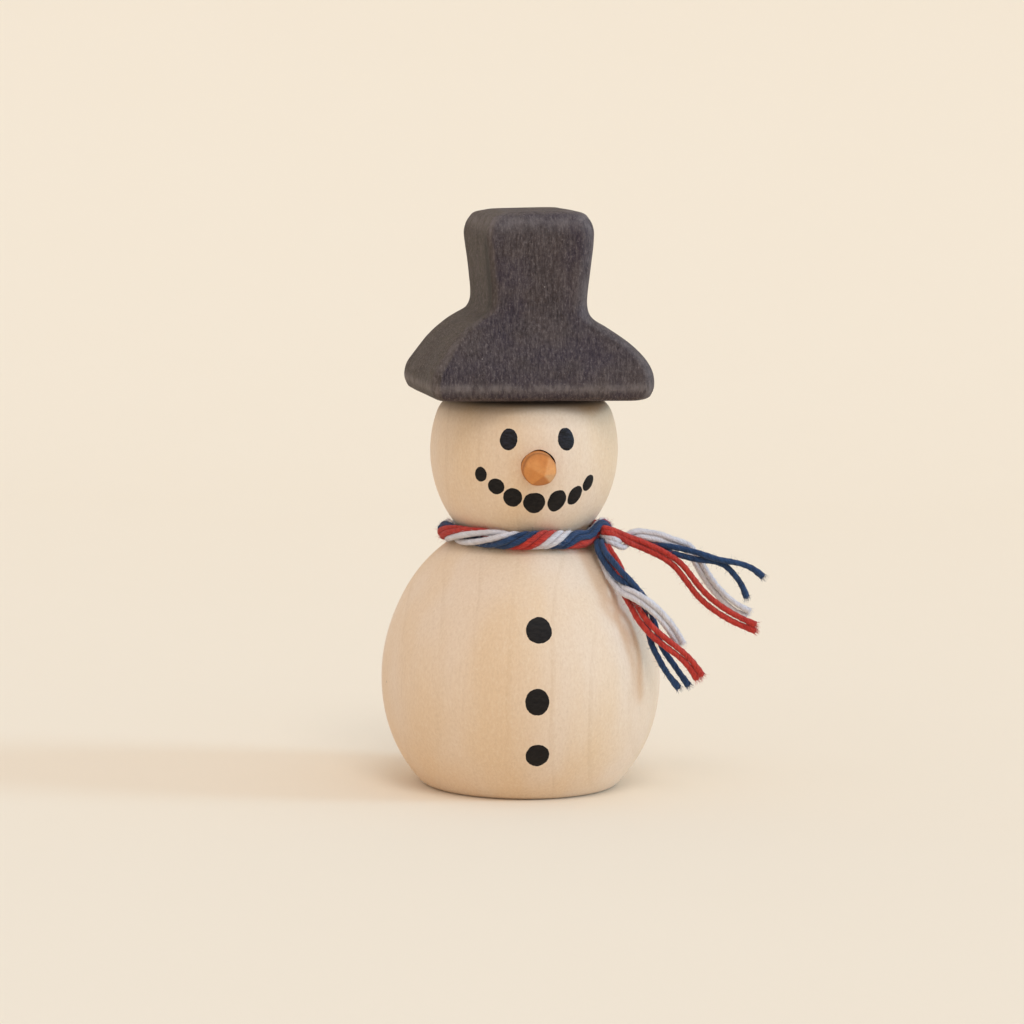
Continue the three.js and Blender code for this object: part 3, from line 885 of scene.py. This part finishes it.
LOWER_TAILS = {
    "blue": (
        ((12.7, -8.7, 42.3), (-0.3, 0.2, 0.1)),
        ((13.4, -10.2, 40.6), (-0.5, 0.3, -0.1)),
        ((14.6, -11.7, 39.2), (-0.6, 0.3, -0.3)),
        ((15.8, -12.8, 37.9), (-0.5, 0.2, -0.4)),
        ((17.3, -13.8, 36.5), (-0.4, 0.2, -0.4)),
        ((18.8, -13.9, 35.1), (-0.4, 0.2, -0.2)),
        ((20.2, -13.1, 33.2), (-0.4, 0.2, -0.2)),
        ((21.2, -12.1, 30.5), (-0.5, 0.1, -0.2)),
        ((21.9, -12.0, 27.9), (-0.7, 0.0, -0.2)),
        ((22.6, -12.2, 25.5), (-0.8, -0.1, 0.1)),
        ((23.8, -12.6, 23.6), (-0.9, -0.1, 0.0)),
        ((25.1, -12.9, 21.6), (-1.0, -0.1, -0.1)),
        ((27.1, -13.1, 19.0), (-0.8, -0.1, -0.2)),
    ),
    "red": (
        ((13.7, -7.3, 42.2), (-0.2, -0.3, -0.1)),
        ((14.3, -8.6, 41.0), (-0.3, -0.2, 0.0)),
        ((15.2, -9.5, 39.8), (-0.4, -0.1, 0.1)),
        ((16.0, -10.4, 38.0), (-0.4, 0.0, 0.1)),
        ((16.7, -11.2, 35.8), (-0.4, 0.0, -0.1)),
        ((17.8, -12.3, 33.8), (-0.4, -0.1, -0.2)),
        ((18.7, -13.6, 32.4), (-0.5, 0.0, -0.1)),
        ((19.8, -14.4, 30.5), (-0.5, 0.0, -0.2)),
        ((21.8, -14.6, 28.3), (-0.5, 0.0, -0.3)),
        ((24.0, -14.6, 26.5), (-0.4, 0.0, -0.4)),
        ((26.8, -14.5, 24.4), (-0.3, 0.0, -0.4)),
        ((28.5, -14.4, 22.6), (-0.4, 0.0, -0.3)),
        ((29.7, -14.2, 20.8), (-0.4, 0.0, -0.3)),
    ),
    "white": (
        ((12.9, -6.4, 41.0), (-0.3, -0.2, 0.1)),
        ((13.4, -8.6, 39.7), (-0.3, -0.2, 0.2)),
        ((14.2, -10.4, 38.0), (-0.3, -0.2, 0.1)),
        ((15.4, -11.9, 36.5), (-0.3, -0.1, -0.1)),
        ((16.8, -13.7, 35.3), (-0.3, -0.1, -0.3)),
        ((18.7, -15.2, 34.4), (-0.3, 0.0, -0.3)),
        ((20.6, -15.3, 33.3), (-0.4, 0.0, -0.3)),
        ((22.4, -14.6, 31.7), (-0.4, 0.0, -0.3)),
        ((24.1, -13.8, 29.8), (-0.3, 0.0, -0.3)),
        ((25.6, -13.0, 27.7), (-0.4, 0.0, -0.2)),
        ((26.4, -12.4, 26.1), (-0.4, 0.0, -0.1)),
    ),
}
# The front of the loop goes over the knot, round behind it and out below as the lower tails.
KNOT_WRAP = {
    "blue": (
        ((11.0, -8.7, 43.4), (0.1, 0.3, 0.3)),
        ((12.2, -7.6, 44.6), (-0.1, 0.4, 0.2)),
        ((13.2, -6.5, 45.4), (-0.1, 0.5, 0.2)),
        ((14.3, -5.2, 44.9), (-0.1, 0.4, 0.2)),
        ((14.6, -4.2, 43.8), (0.0, 0.4, 0.0)),
        ((14.2, -4.3, 42.7), (0.0, 0.4, 0.0)),
        ((13.3, -6.4, 42.4), (-0.1, 0.4, 0.0)),
    ),
    "red": (
        ((11.1, -8.1, 42.4), (0.2, -0.3, 0.3)),
        ((12.5, -6.3, 43.5), (0.0, 0.3, 0.3)),
        ((12.9, -4.8, 44.9), (0.0, 0.4, 0.2)),
        ((13.6, -3.8, 45.6), (0.0, 0.4, 0.0)),
        ((14.5, -3.0, 44.6), (0.0, 0.4, -0.1)),
        ((14.7, -2.8, 43.5), (0.0, 0.4, 0.0)),
        ((14.3, -3.5, 42.6), (0.0, 0.3, 0.0)),
        ((13.9, -5.3, 42.3), (-0.1, 0.2, -0.1)),
    ),
    "white": (
        ((11.5, -5.6, 43.5), (0.1, 0.0, 0.3)),
        ((12.4, -4.0, 44.5), (0.0, 0.0, 0.4)),
        ((13.3, -2.0, 45.3), (0.0, -0.3, 0.2)),
        ((14.4, -1.1, 44.7), (0.0, -0.4, 0.2)),
        ((14.9, -0.7, 43.6), (0.0, -0.4, 0.1)),
        ((14.6, -1.2, 42.4), (0.0, -0.3, 0.1)),
        ((13.9, -3.0, 41.6), (-0.1, -0.3, 0.1)),
        ((13.3, -5.1, 41.3), (-0.2, -0.2, 0.1)),
    ),
}
# The back of the loop comes forward through the wrap and turns out as the upper tails.
KNOT_CORE = {
    "blue": (((13.9, -5.0, 43.8), (-0.1, 0.0, 0.3)), ((13.9, -3.0, 43.4), (-0.1, 0.0, 0.3))),
    "red": (((13.1, -6.1, 44.0), (-0.1, 0.1, 0.3)), ((13.3, -3.7, 43.6), (-0.1, 0.1, 0.3))),
    "white": (((13.4, -5.8, 43.2), (-0.2, 0.0, 0.2)), ((13.5, -3.2, 42.9), (-0.2, 0.0, 0.2))),
}
KNOT_CENTRE = Vector((13.9, -5.0, 43.6))
KNOT_REACH = 3.4
KNOT_SQUEEZE = 0.72  # how near two threads may come in the knot, as a share of their diameter
LOOSE_SQUEEZE = 0.97  # the same away from the knot
PUSH = 0.22  # the share of an overlap that one round takes away
SETTLE_ROUNDS = 40
KINK_ROUNDS = 12

# Degrees round the neck from the front, where the loop starts behind the knot and ends before it.
LOOP_START = -255
LOOP_END = 42
# Place of each pair round the twine, and of its first thread beside the pair's middle, in degrees.
PAIR_TURN = {"blue": -88, "red": -192, "white": -300}
FIRST_SIDE = {"blue": 30, "red": 22, "white": -46}
# The twine's twist, in degrees, at degrees round the neck: looser at its left than in front.
TWIST = (
    (-255, -1150),
    (-170, -650),
    (-90, -228),
    (-54, -104),
    (-18, 10),
    (0, 120),
    (18, 274),
    (36, 443),
    (54, 597),
)


def loop_twist(angle):
    return spline(TWIST, angle)[0]


def loop_points(colour, side):
    """Middle of one thread round the neck; side is 1 or -1 within its pair."""
    points = []
    for angle in range(LOOP_START, LOOP_END + 1, 9):
        turn = math.radians(loop_twist(angle) + PAIR_TURN[colour] + side * FIRST_SIDE[colour])
        radius = LOOP_RADIUS + STRAND_RADIUS * math.cos(turn)
        z = LOOP_Z + STRAND_RADIUS * math.sin(turn)
        points.append(ring_point(radius, math.radians(angle - 90), z))
    return points


def pair_points(rows, side):
    return [Vector(middle) + side * Vector(apart) for middle, apart in rows]


def curve_through(points, step):
    """Points at even steps on a smooth curve through the given ones."""
    padded = [2 * points[0] - points[1], *points, 2 * points[-1] - points[-2]]
    fine = [points[0]]
    for i in range(1, len(padded) - 2):
        a, b, c, d = padded[i - 1 : i + 3]
        knots = [0.0]
        for p, q in ((a, b), (b, c), (c, d)):
            knots.append(knots[-1] + max(1e-6, (q - p).length) ** 0.5)
        pieces = 12
        for k in range(1, pieces + 1):
            t = mix(knots[1], knots[2], k / pieces)
            fine.append(catmull(a, b, c, d, knots, t))
    lengths = [0.0]
    for p, q in zip(fine, fine[1:]):
        lengths.append(lengths[-1] + (q - p).length)
    count = max(2, round(lengths[-1] / step))
    even = []
    i = 0
    for k in range(count + 1):
        wanted = lengths[-1] * k / count
        while i < len(lengths) - 2 and lengths[i + 1] < wanted:
            i += 1
        share = (wanted - lengths[i]) / max(1e-9, lengths[i + 1] - lengths[i])
        even.append(fine[i].lerp(fine[i + 1], min(1.0, share)))
    return even


def catmull(a, b, c, d, knots, t):
    def between(p, q, low, high):
        return p.lerp(q, (t - low) / (high - low))

    first = between(a, b, knots[0], knots[1])
    second = between(b, c, knots[1], knots[2])
    third = between(c, d, knots[2], knots[3])
    left = between(first, second, knots[0], knots[2])
    right = between(second, third, knots[1], knots[3])
    return between(left, right, knots[1], knots[2])


def thread_line(colour, side):
    """One thread from the tip of its upper tail, through the knot, round the neck and down."""
    points = list(reversed(pair_points(UPPER_TAILS[colour], side)))
    points += pair_points(KNOT_CORE[colour], side)
    points += loop_points(colour, side)
    points += pair_points(KNOT_WRAP[colour], side)
    points += pair_points(LOWER_TAILS[colour], side)
    return curve_through(points, THREAD_STEP)


def keep_off_wood(point, gap):
    """Moves a point out of the turned wood, along the wood's normal."""
    radius = math.hypot(point.x, point.y)
    wood = turned_radius(point.z)
    slope = (turned_radius(point.z + 0.1) - turned_radius(point.z - 0.1)) / 0.2
    out = Vector((point.x / radius, point.y / radius, -slope)).normalized()
    away = (radius - wood) / math.sqrt(1 + slope ** 2)
    return out * max(0.0, gap - away)


def settle(lines, rounds):
    """Pushes threads that touch apart, and off the wood, with smooth moves along each thread."""
    where = [(n, k) for n, line in enumerate(lines) for k in range(len(line))]
    for _ in range(rounds):
        tree = KDTree(len(where))
        for i, (n, k) in enumerate(where):
            tree.insert(lines[n][k], i)
        tree.balance()
        moves = [[Vector() for _ in line] for line in lines]
        for n, k in where:
            point = lines[n][k]
            away = smooth_step(((point - KNOT_CENTRE).length - KNOT_REACH) / 2)
            wanted = THREAD * mix(KNOT_SQUEEZE, LOOSE_SQUEEZE, away)
            for other, j, gap in tree.find_range(point, wanted):
                m, l = where[j]
                if gap < 1e-5 or (m == n and abs(l - k) < 8):
                    continue
                moves[n][k] += (point - other) * (PUSH * (wanted - gap) / gap)
            moves[n][k] += keep_off_wood(point, 0.5 * THREAD)
        for line, moved in zip(lines, moves):
            for _ in range(2):
                ends = [moved[0], *moved, moved[-1]]
                moved = [(ends[i] + 2 * ends[i + 1] + ends[i + 2]) / 4 for i in range(len(moved))]
            for k, move in enumerate(moved):
                line[k] = line[k] + move
    return lines


def soften(line, rounds):
    """Takes the sharp kinks out of a thread's line and leaves its ends where they are."""
    for _ in range(rounds):
        inner = [(line[k - 1] + 2 * line[k] + line[k + 1]) / 4 for k in range(1, len(line) - 1)]
        line = [line[0], *inner, line[-1]]
    return line


def frames_along(line):
    """Direction, side and up at each point, turning as little as possible."""
    frames = []
    side = None
    for k in range(len(line)):
        ahead = (line[min(k + 1, len(line) - 1)] - line[max(k - 1, 0)]).normalized()
        if side is None:
            side = ahead.orthogonal().normalized()
        side = (side - ahead * side.dot(ahead)).normalized()
        frames.append((ahead, side, ahead.cross(side)))
    return frames


THREAD_SIDES = 12
PLY_LAY = 2.6  # one turn of the two plies of a thread
# Shares of a thread's radius.
PLY_LOBES = 0.06
THREAD_ROUGH = 0.07
THREAD_SLUBS = 0.09
THREAD_IN_KNOT = 0.84
END_FLARE = 0.22
END_BULGE = 0.28  # millimetres


def thread_mesh(name, line, material, seed):
    """A two-ply thread with soft, slightly wider ends."""
    frames = frames_along(line)
    points = []
    fibre = []
    last = len(line) - 1
    for k, (_, side, up) in enumerate(frames):
        s = k * THREAD_STEP
        to_end = min(k, last - k) * THREAD_STEP
        away = smooth_step(((line[k] - KNOT_CENTRE).length - 2.6) / 2.0)
        squeezed = mix(THREAD_IN_KNOT, 1.0, away)
        flare = 1 + END_FLARE * math.exp(-((to_end / 1.3) ** 2))
        thick = 1 + THREAD_SLUBS * noise.noise(Vector((s * 0.35, seed, 0)))
        radius = 0.5 * THREAD * squeezed * flare * thick
        for j in range(THREAD_SIDES):
            a = TAU * j / THREAD_SIDES
            turned = a - TAU * s / PLY_LAY
            lobes = 1 + PLY_LOBES * math.cos(2 * turned)
            patch = Vector((1.6 * math.cos(a), 1.6 * math.sin(a) + seed, s * 1.2))
            rough = 1 + THREAD_ROUGH * noise.noise(patch)
            out = side * math.cos(a) + up * math.sin(a)
            points.append(line[k] + out * (radius * lobes * rough))
            fibre.append((math.cos(turned), math.sin(turned), s))
    faces = ring_faces(len(line), THREAD_SIDES)
    for first, k, way in ((0, 0, -1), (last * THREAD_SIDES, last, 1)):
        points.append(line[k] + frames[k][0] * (way * END_BULGE))
        fibre.append((0.0, 0.0, k * THREAD_STEP))
        for j in range(THREAD_SIDES):
            edge = (first + j, first + (j + 1) % THREAD_SIDES)
            faces.append((*edge, len(points) - 1) if way > 0 else (edge[1], edge[0], len(points) - 1))
    thing = make_object(name, points, faces, material)
    attribute = thing.data.attributes.new("fibre", "FLOAT_VECTOR", "POINT")
    attribute.data.foreach_set("vector", [c for f in fibre for c in f])
    return thing


def add_hair(points, faces, start, direction, droop, length, thickness, draw):
    """One fine fibre: a three-sided tube that bends and thins towards its tip."""
    side = direction.orthogonal().normalized()
    up = direction.cross(side)
    bend = side * draw.uniform(-0.5, 0.5) + up * draw.uniform(-0.5, 0.5) + droop
    pieces = 4
    first = len(points)
    for k in range(pieces + 1):
        t = k / pieces
        middle = start + direction * (length * t) + bend * (length * t * t)
        width = thickness * (1 - 0.75 * t)
        for j in range(3):
            a = TAU * j / 3
            points.append(middle + (side * math.cos(a) + up * math.sin(a)) * width)
    faces += ring_faces(pieces + 1, 3, first)
    faces.append((first + 2, first + 1, first))
    end = first + pieces * 3
    faces.append((end, end + 1, end + 2))


FUZZ_PER_MM = 9.0
FUZZ_THICKNESS = 0.022
FUZZ_DROOP = Vector((0, 0, -0.1))
END_HAIRS = 46
END_THICKNESS = 0.03
END_DROOP = Vector((0, 0, -0.05))


def fuzz_mesh(name, line, material, seed):
    """Loose fibres that stand off a thread, and the frayed fibres of its two ends."""
    draw = random.Random(seed)
    frames = frames_along(line)
    points = []
    faces = []
    for _ in range(int(FUZZ_PER_MM * THREAD_STEP * len(line))):
        k = draw.randrange(len(line))
        ahead, side, up = frames[k]
        a = draw.uniform(0, TAU)
        out = side * math.cos(a) + up * math.sin(a)
        across = ahead.cross(out)
        direction = ahead * draw.uniform(-1, 1)
        direction += out * draw.uniform(0.1, 0.7)
        direction += across * draw.uniform(-0.7, 0.7)
        start = line[k] + out * (0.47 * THREAD)
        length = draw.uniform(0.3, 1.0) * draw.uniform(0.6, 1.3)
        add_hair(points, faces, start, direction.normalized(), FUZZ_DROOP, length, FUZZ_THICKNESS, draw)
    for k, way in ((0, -1), (len(line) - 1, 1)):
        ahead, side, up = frames[k]
        for _ in range(END_HAIRS):
            a = draw.uniform(0, TAU)
            share = math.sqrt(draw.random())
            out = side * math.cos(a) + up * math.sin(a)
            direction = (ahead * way + out * share * 0.45).normalized()
            start = line[k] + out * (0.52 * THREAD * share) - ahead * (way * 0.2)
            length = draw.uniform(0.45, 1.15)
            add_hair(points, faces, start, direction, END_DROOP, length, END_THICKNESS, draw)
    return make_object(name, points, faces, material)


def scarf_matrix():
    return Matrix.Rotation(SCARF_TURN, 4, "Z")


def make_scarf():
    names = [(colour, side) for colour in COLOURS for side in (1, -1)]
    lines = [thread_line(colour, side) for colour, side in names]
    lines = settle(lines, SETTLE_ROUNDS)
    lines = settle([soften(line, KINK_ROUNDS) for line in lines], 2)
    for n, ((colour, side), line) in enumerate(zip(names, lines)):
        line = [scarf_matrix() @ p for p in line]
        name = f"thread_{colour}_{1 if side > 0 else 2}"
        thread = thread_mesh(name, line, COTTON[colour], 11.0 * n)
        fuzz = fuzz_mesh(name + "_fuzz", line, COTTON[colour], 500 + n)
        for piece in (thread, fuzz):
            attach(piece, "root")
        nodes = [f"scarf_upper_{colour}", f"scarf_lower_{colour}"]
        nodes += ["scarf_loop", "scarf_knot"] if n == 0 else []
        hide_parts(*nodes)


# ---- stage ----

SWEEP_FRONT = -1500.0
SWEEP_BACK = 1100.0
SWEEP_CURVE = 700.0  # radius
SWEEP_TOP = 1600.0
SWEEP_HALF_WIDTH = 1800.0


def make_stage():
    """A seamless sweep of pale paper: floor, curve and back wall in one sheet."""
    s = Shader("paper")
    cloud = s.noise(s.place(), 0.02, 2)
    colour = s.blend(cloud, rgb(0.880, 0.768, 0.612), rgb(0.885, 0.775, 0.621))
    paper = s.finish(Base_Color=colour, Roughness=0.9, Specular_IOR_Level=0.0)
    curve_start = SWEEP_BACK - SWEEP_CURVE
    line = [(SWEEP_FRONT, 0.0), (-600.0, 0.0), (0.0, 0.0), (curve_start, 0.0)]
    for degrees in range(3, 91, 3):
        a = math.radians(degrees)
        line.append((curve_start + SWEEP_CURVE * math.sin(a), SWEEP_CURVE - SWEEP_CURVE * math.cos(a)))
    line.append((SWEEP_BACK, SWEEP_TOP))
    points = []
    for along, z in line:
        points += [(-SWEEP_HALF_WIDTH, along, z), (SWEEP_HALF_WIDTH, along, z)]
    faces = [(2 * i, 2 * i + 1, 2 * i + 3, 2 * i + 2) for i in range(len(line) - 1)]
    sweep = make_object("paper_sweep", points, faces, paper)
    sweep.matrix_world = Matrix.Rotation(-VIEW_TURN, 4, "Z")


KEY_TO_RIGHT = math.radians(85)  # from the direction of the camera
KEY_UP = math.radians(17)
KEY_STRENGTH = 1.5
KEY_SPREAD = math.radians(16)
KEY_COLOUR = (0.36, 0.68, 1.0)
CEILING_TO_RIGHT = math.radians(12)
CEILING_UP = math.radians(58)
CEILING_STRENGTH = 0.6
CEILING_SPREAD = math.radians(24)
CEILING_COLOUR = (1.0, 0.98, 0.96)
# The even room: (share of the way from straight down to straight up, colour).
AROUND = (
    (0.45, rgb(1.0, 0.90, 0.80)),
    (0.72, rgb(0.94, 0.93, 0.95)),
    (1.0, rgb(0.90, 0.92, 1.0)),
)
AROUND_STRENGTH = 0.83


def make_room():
    """An even room, a little warmer near the table than overhead."""
    world = bpy.data.worlds.new("room")
    world.use_nodes = True
    tree = world.node_tree
    where = tree.nodes.new("ShaderNodeSeparateXYZ")
    tree.links.new(tree.nodes.new("ShaderNodeTexCoord").outputs["Generated"], where.inputs[0])
    height = tree.nodes.new("ShaderNodeMapRange")
    height.inputs["From Min"].default_value = -1
    tree.links.new(where.outputs["Z"], height.inputs["Value"])
    colours = tree.nodes.new("ShaderNodeValToRGB")
    colours.color_ramp.elements.new(0.5)
    for element, (place, colour) in zip(colours.color_ramp.elements, AROUND):
        element.position = place
        element.color = colour
    tree.links.new(height.outputs[0], colours.inputs[0])
    background = tree.nodes["Background"]
    tree.links.new(colours.outputs[0], background.inputs["Color"])
    background.inputs["Strength"].default_value = AROUND_STRENGTH
    bpy.context.scene.world = world


def add_sun(name, to_right, up, energy, spread, colour):
    """A distant light, placed by its angles to the right of the camera and above the table."""
    data = bpy.data.lights.new(name, "SUN")
    data.energy = energy
    data.angle = spread
    data.color = colour
    sun = bpy.data.objects.new(name, data)
    bearing = to_right - VIEW_TURN
    towards = Vector((math.sin(bearing), -math.cos(bearing), math.tan(up)))
    sun.matrix_world = towards.to_track_quat("Z", "Y").to_matrix().to_4x4()
    bpy.context.scene.collection.objects.link(sun)


def make_light():
    """A cool window from the right and a soft ceiling over a warm, even room."""
    make_room()
    add_sun("window", KEY_TO_RIGHT, KEY_UP, KEY_STRENGTH, KEY_SPREAD, KEY_COLOUR)
    add_sun("ceiling", CEILING_TO_RIGHT, CEILING_UP, CEILING_STRENGTH, CEILING_SPREAD, CEILING_COLOUR)
    bpy.context.scene.view_settings.view_transform = "Standard"


# ---- put together ----

body = make_body()
nose = make_nose()
hat = make_hat()
make_scarf()
face = make_paint("painted_face", EYES + MOUTH, 1.0)
buttons = make_paint("painted_buttons", BUTTONS, 40.0)
for thing, slot, nodes in (
    (body, "maple", ["body"]),
    (nose, "nose_dye", ["nose"]),
    (hat, "hat_stain", ["hat"]),
    (face, "black_paint", []),
    (buttons, "black_paint", []),
):
    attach(thing, "root")
    if nodes:
        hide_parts(*nodes)
make_stage()
make_light()
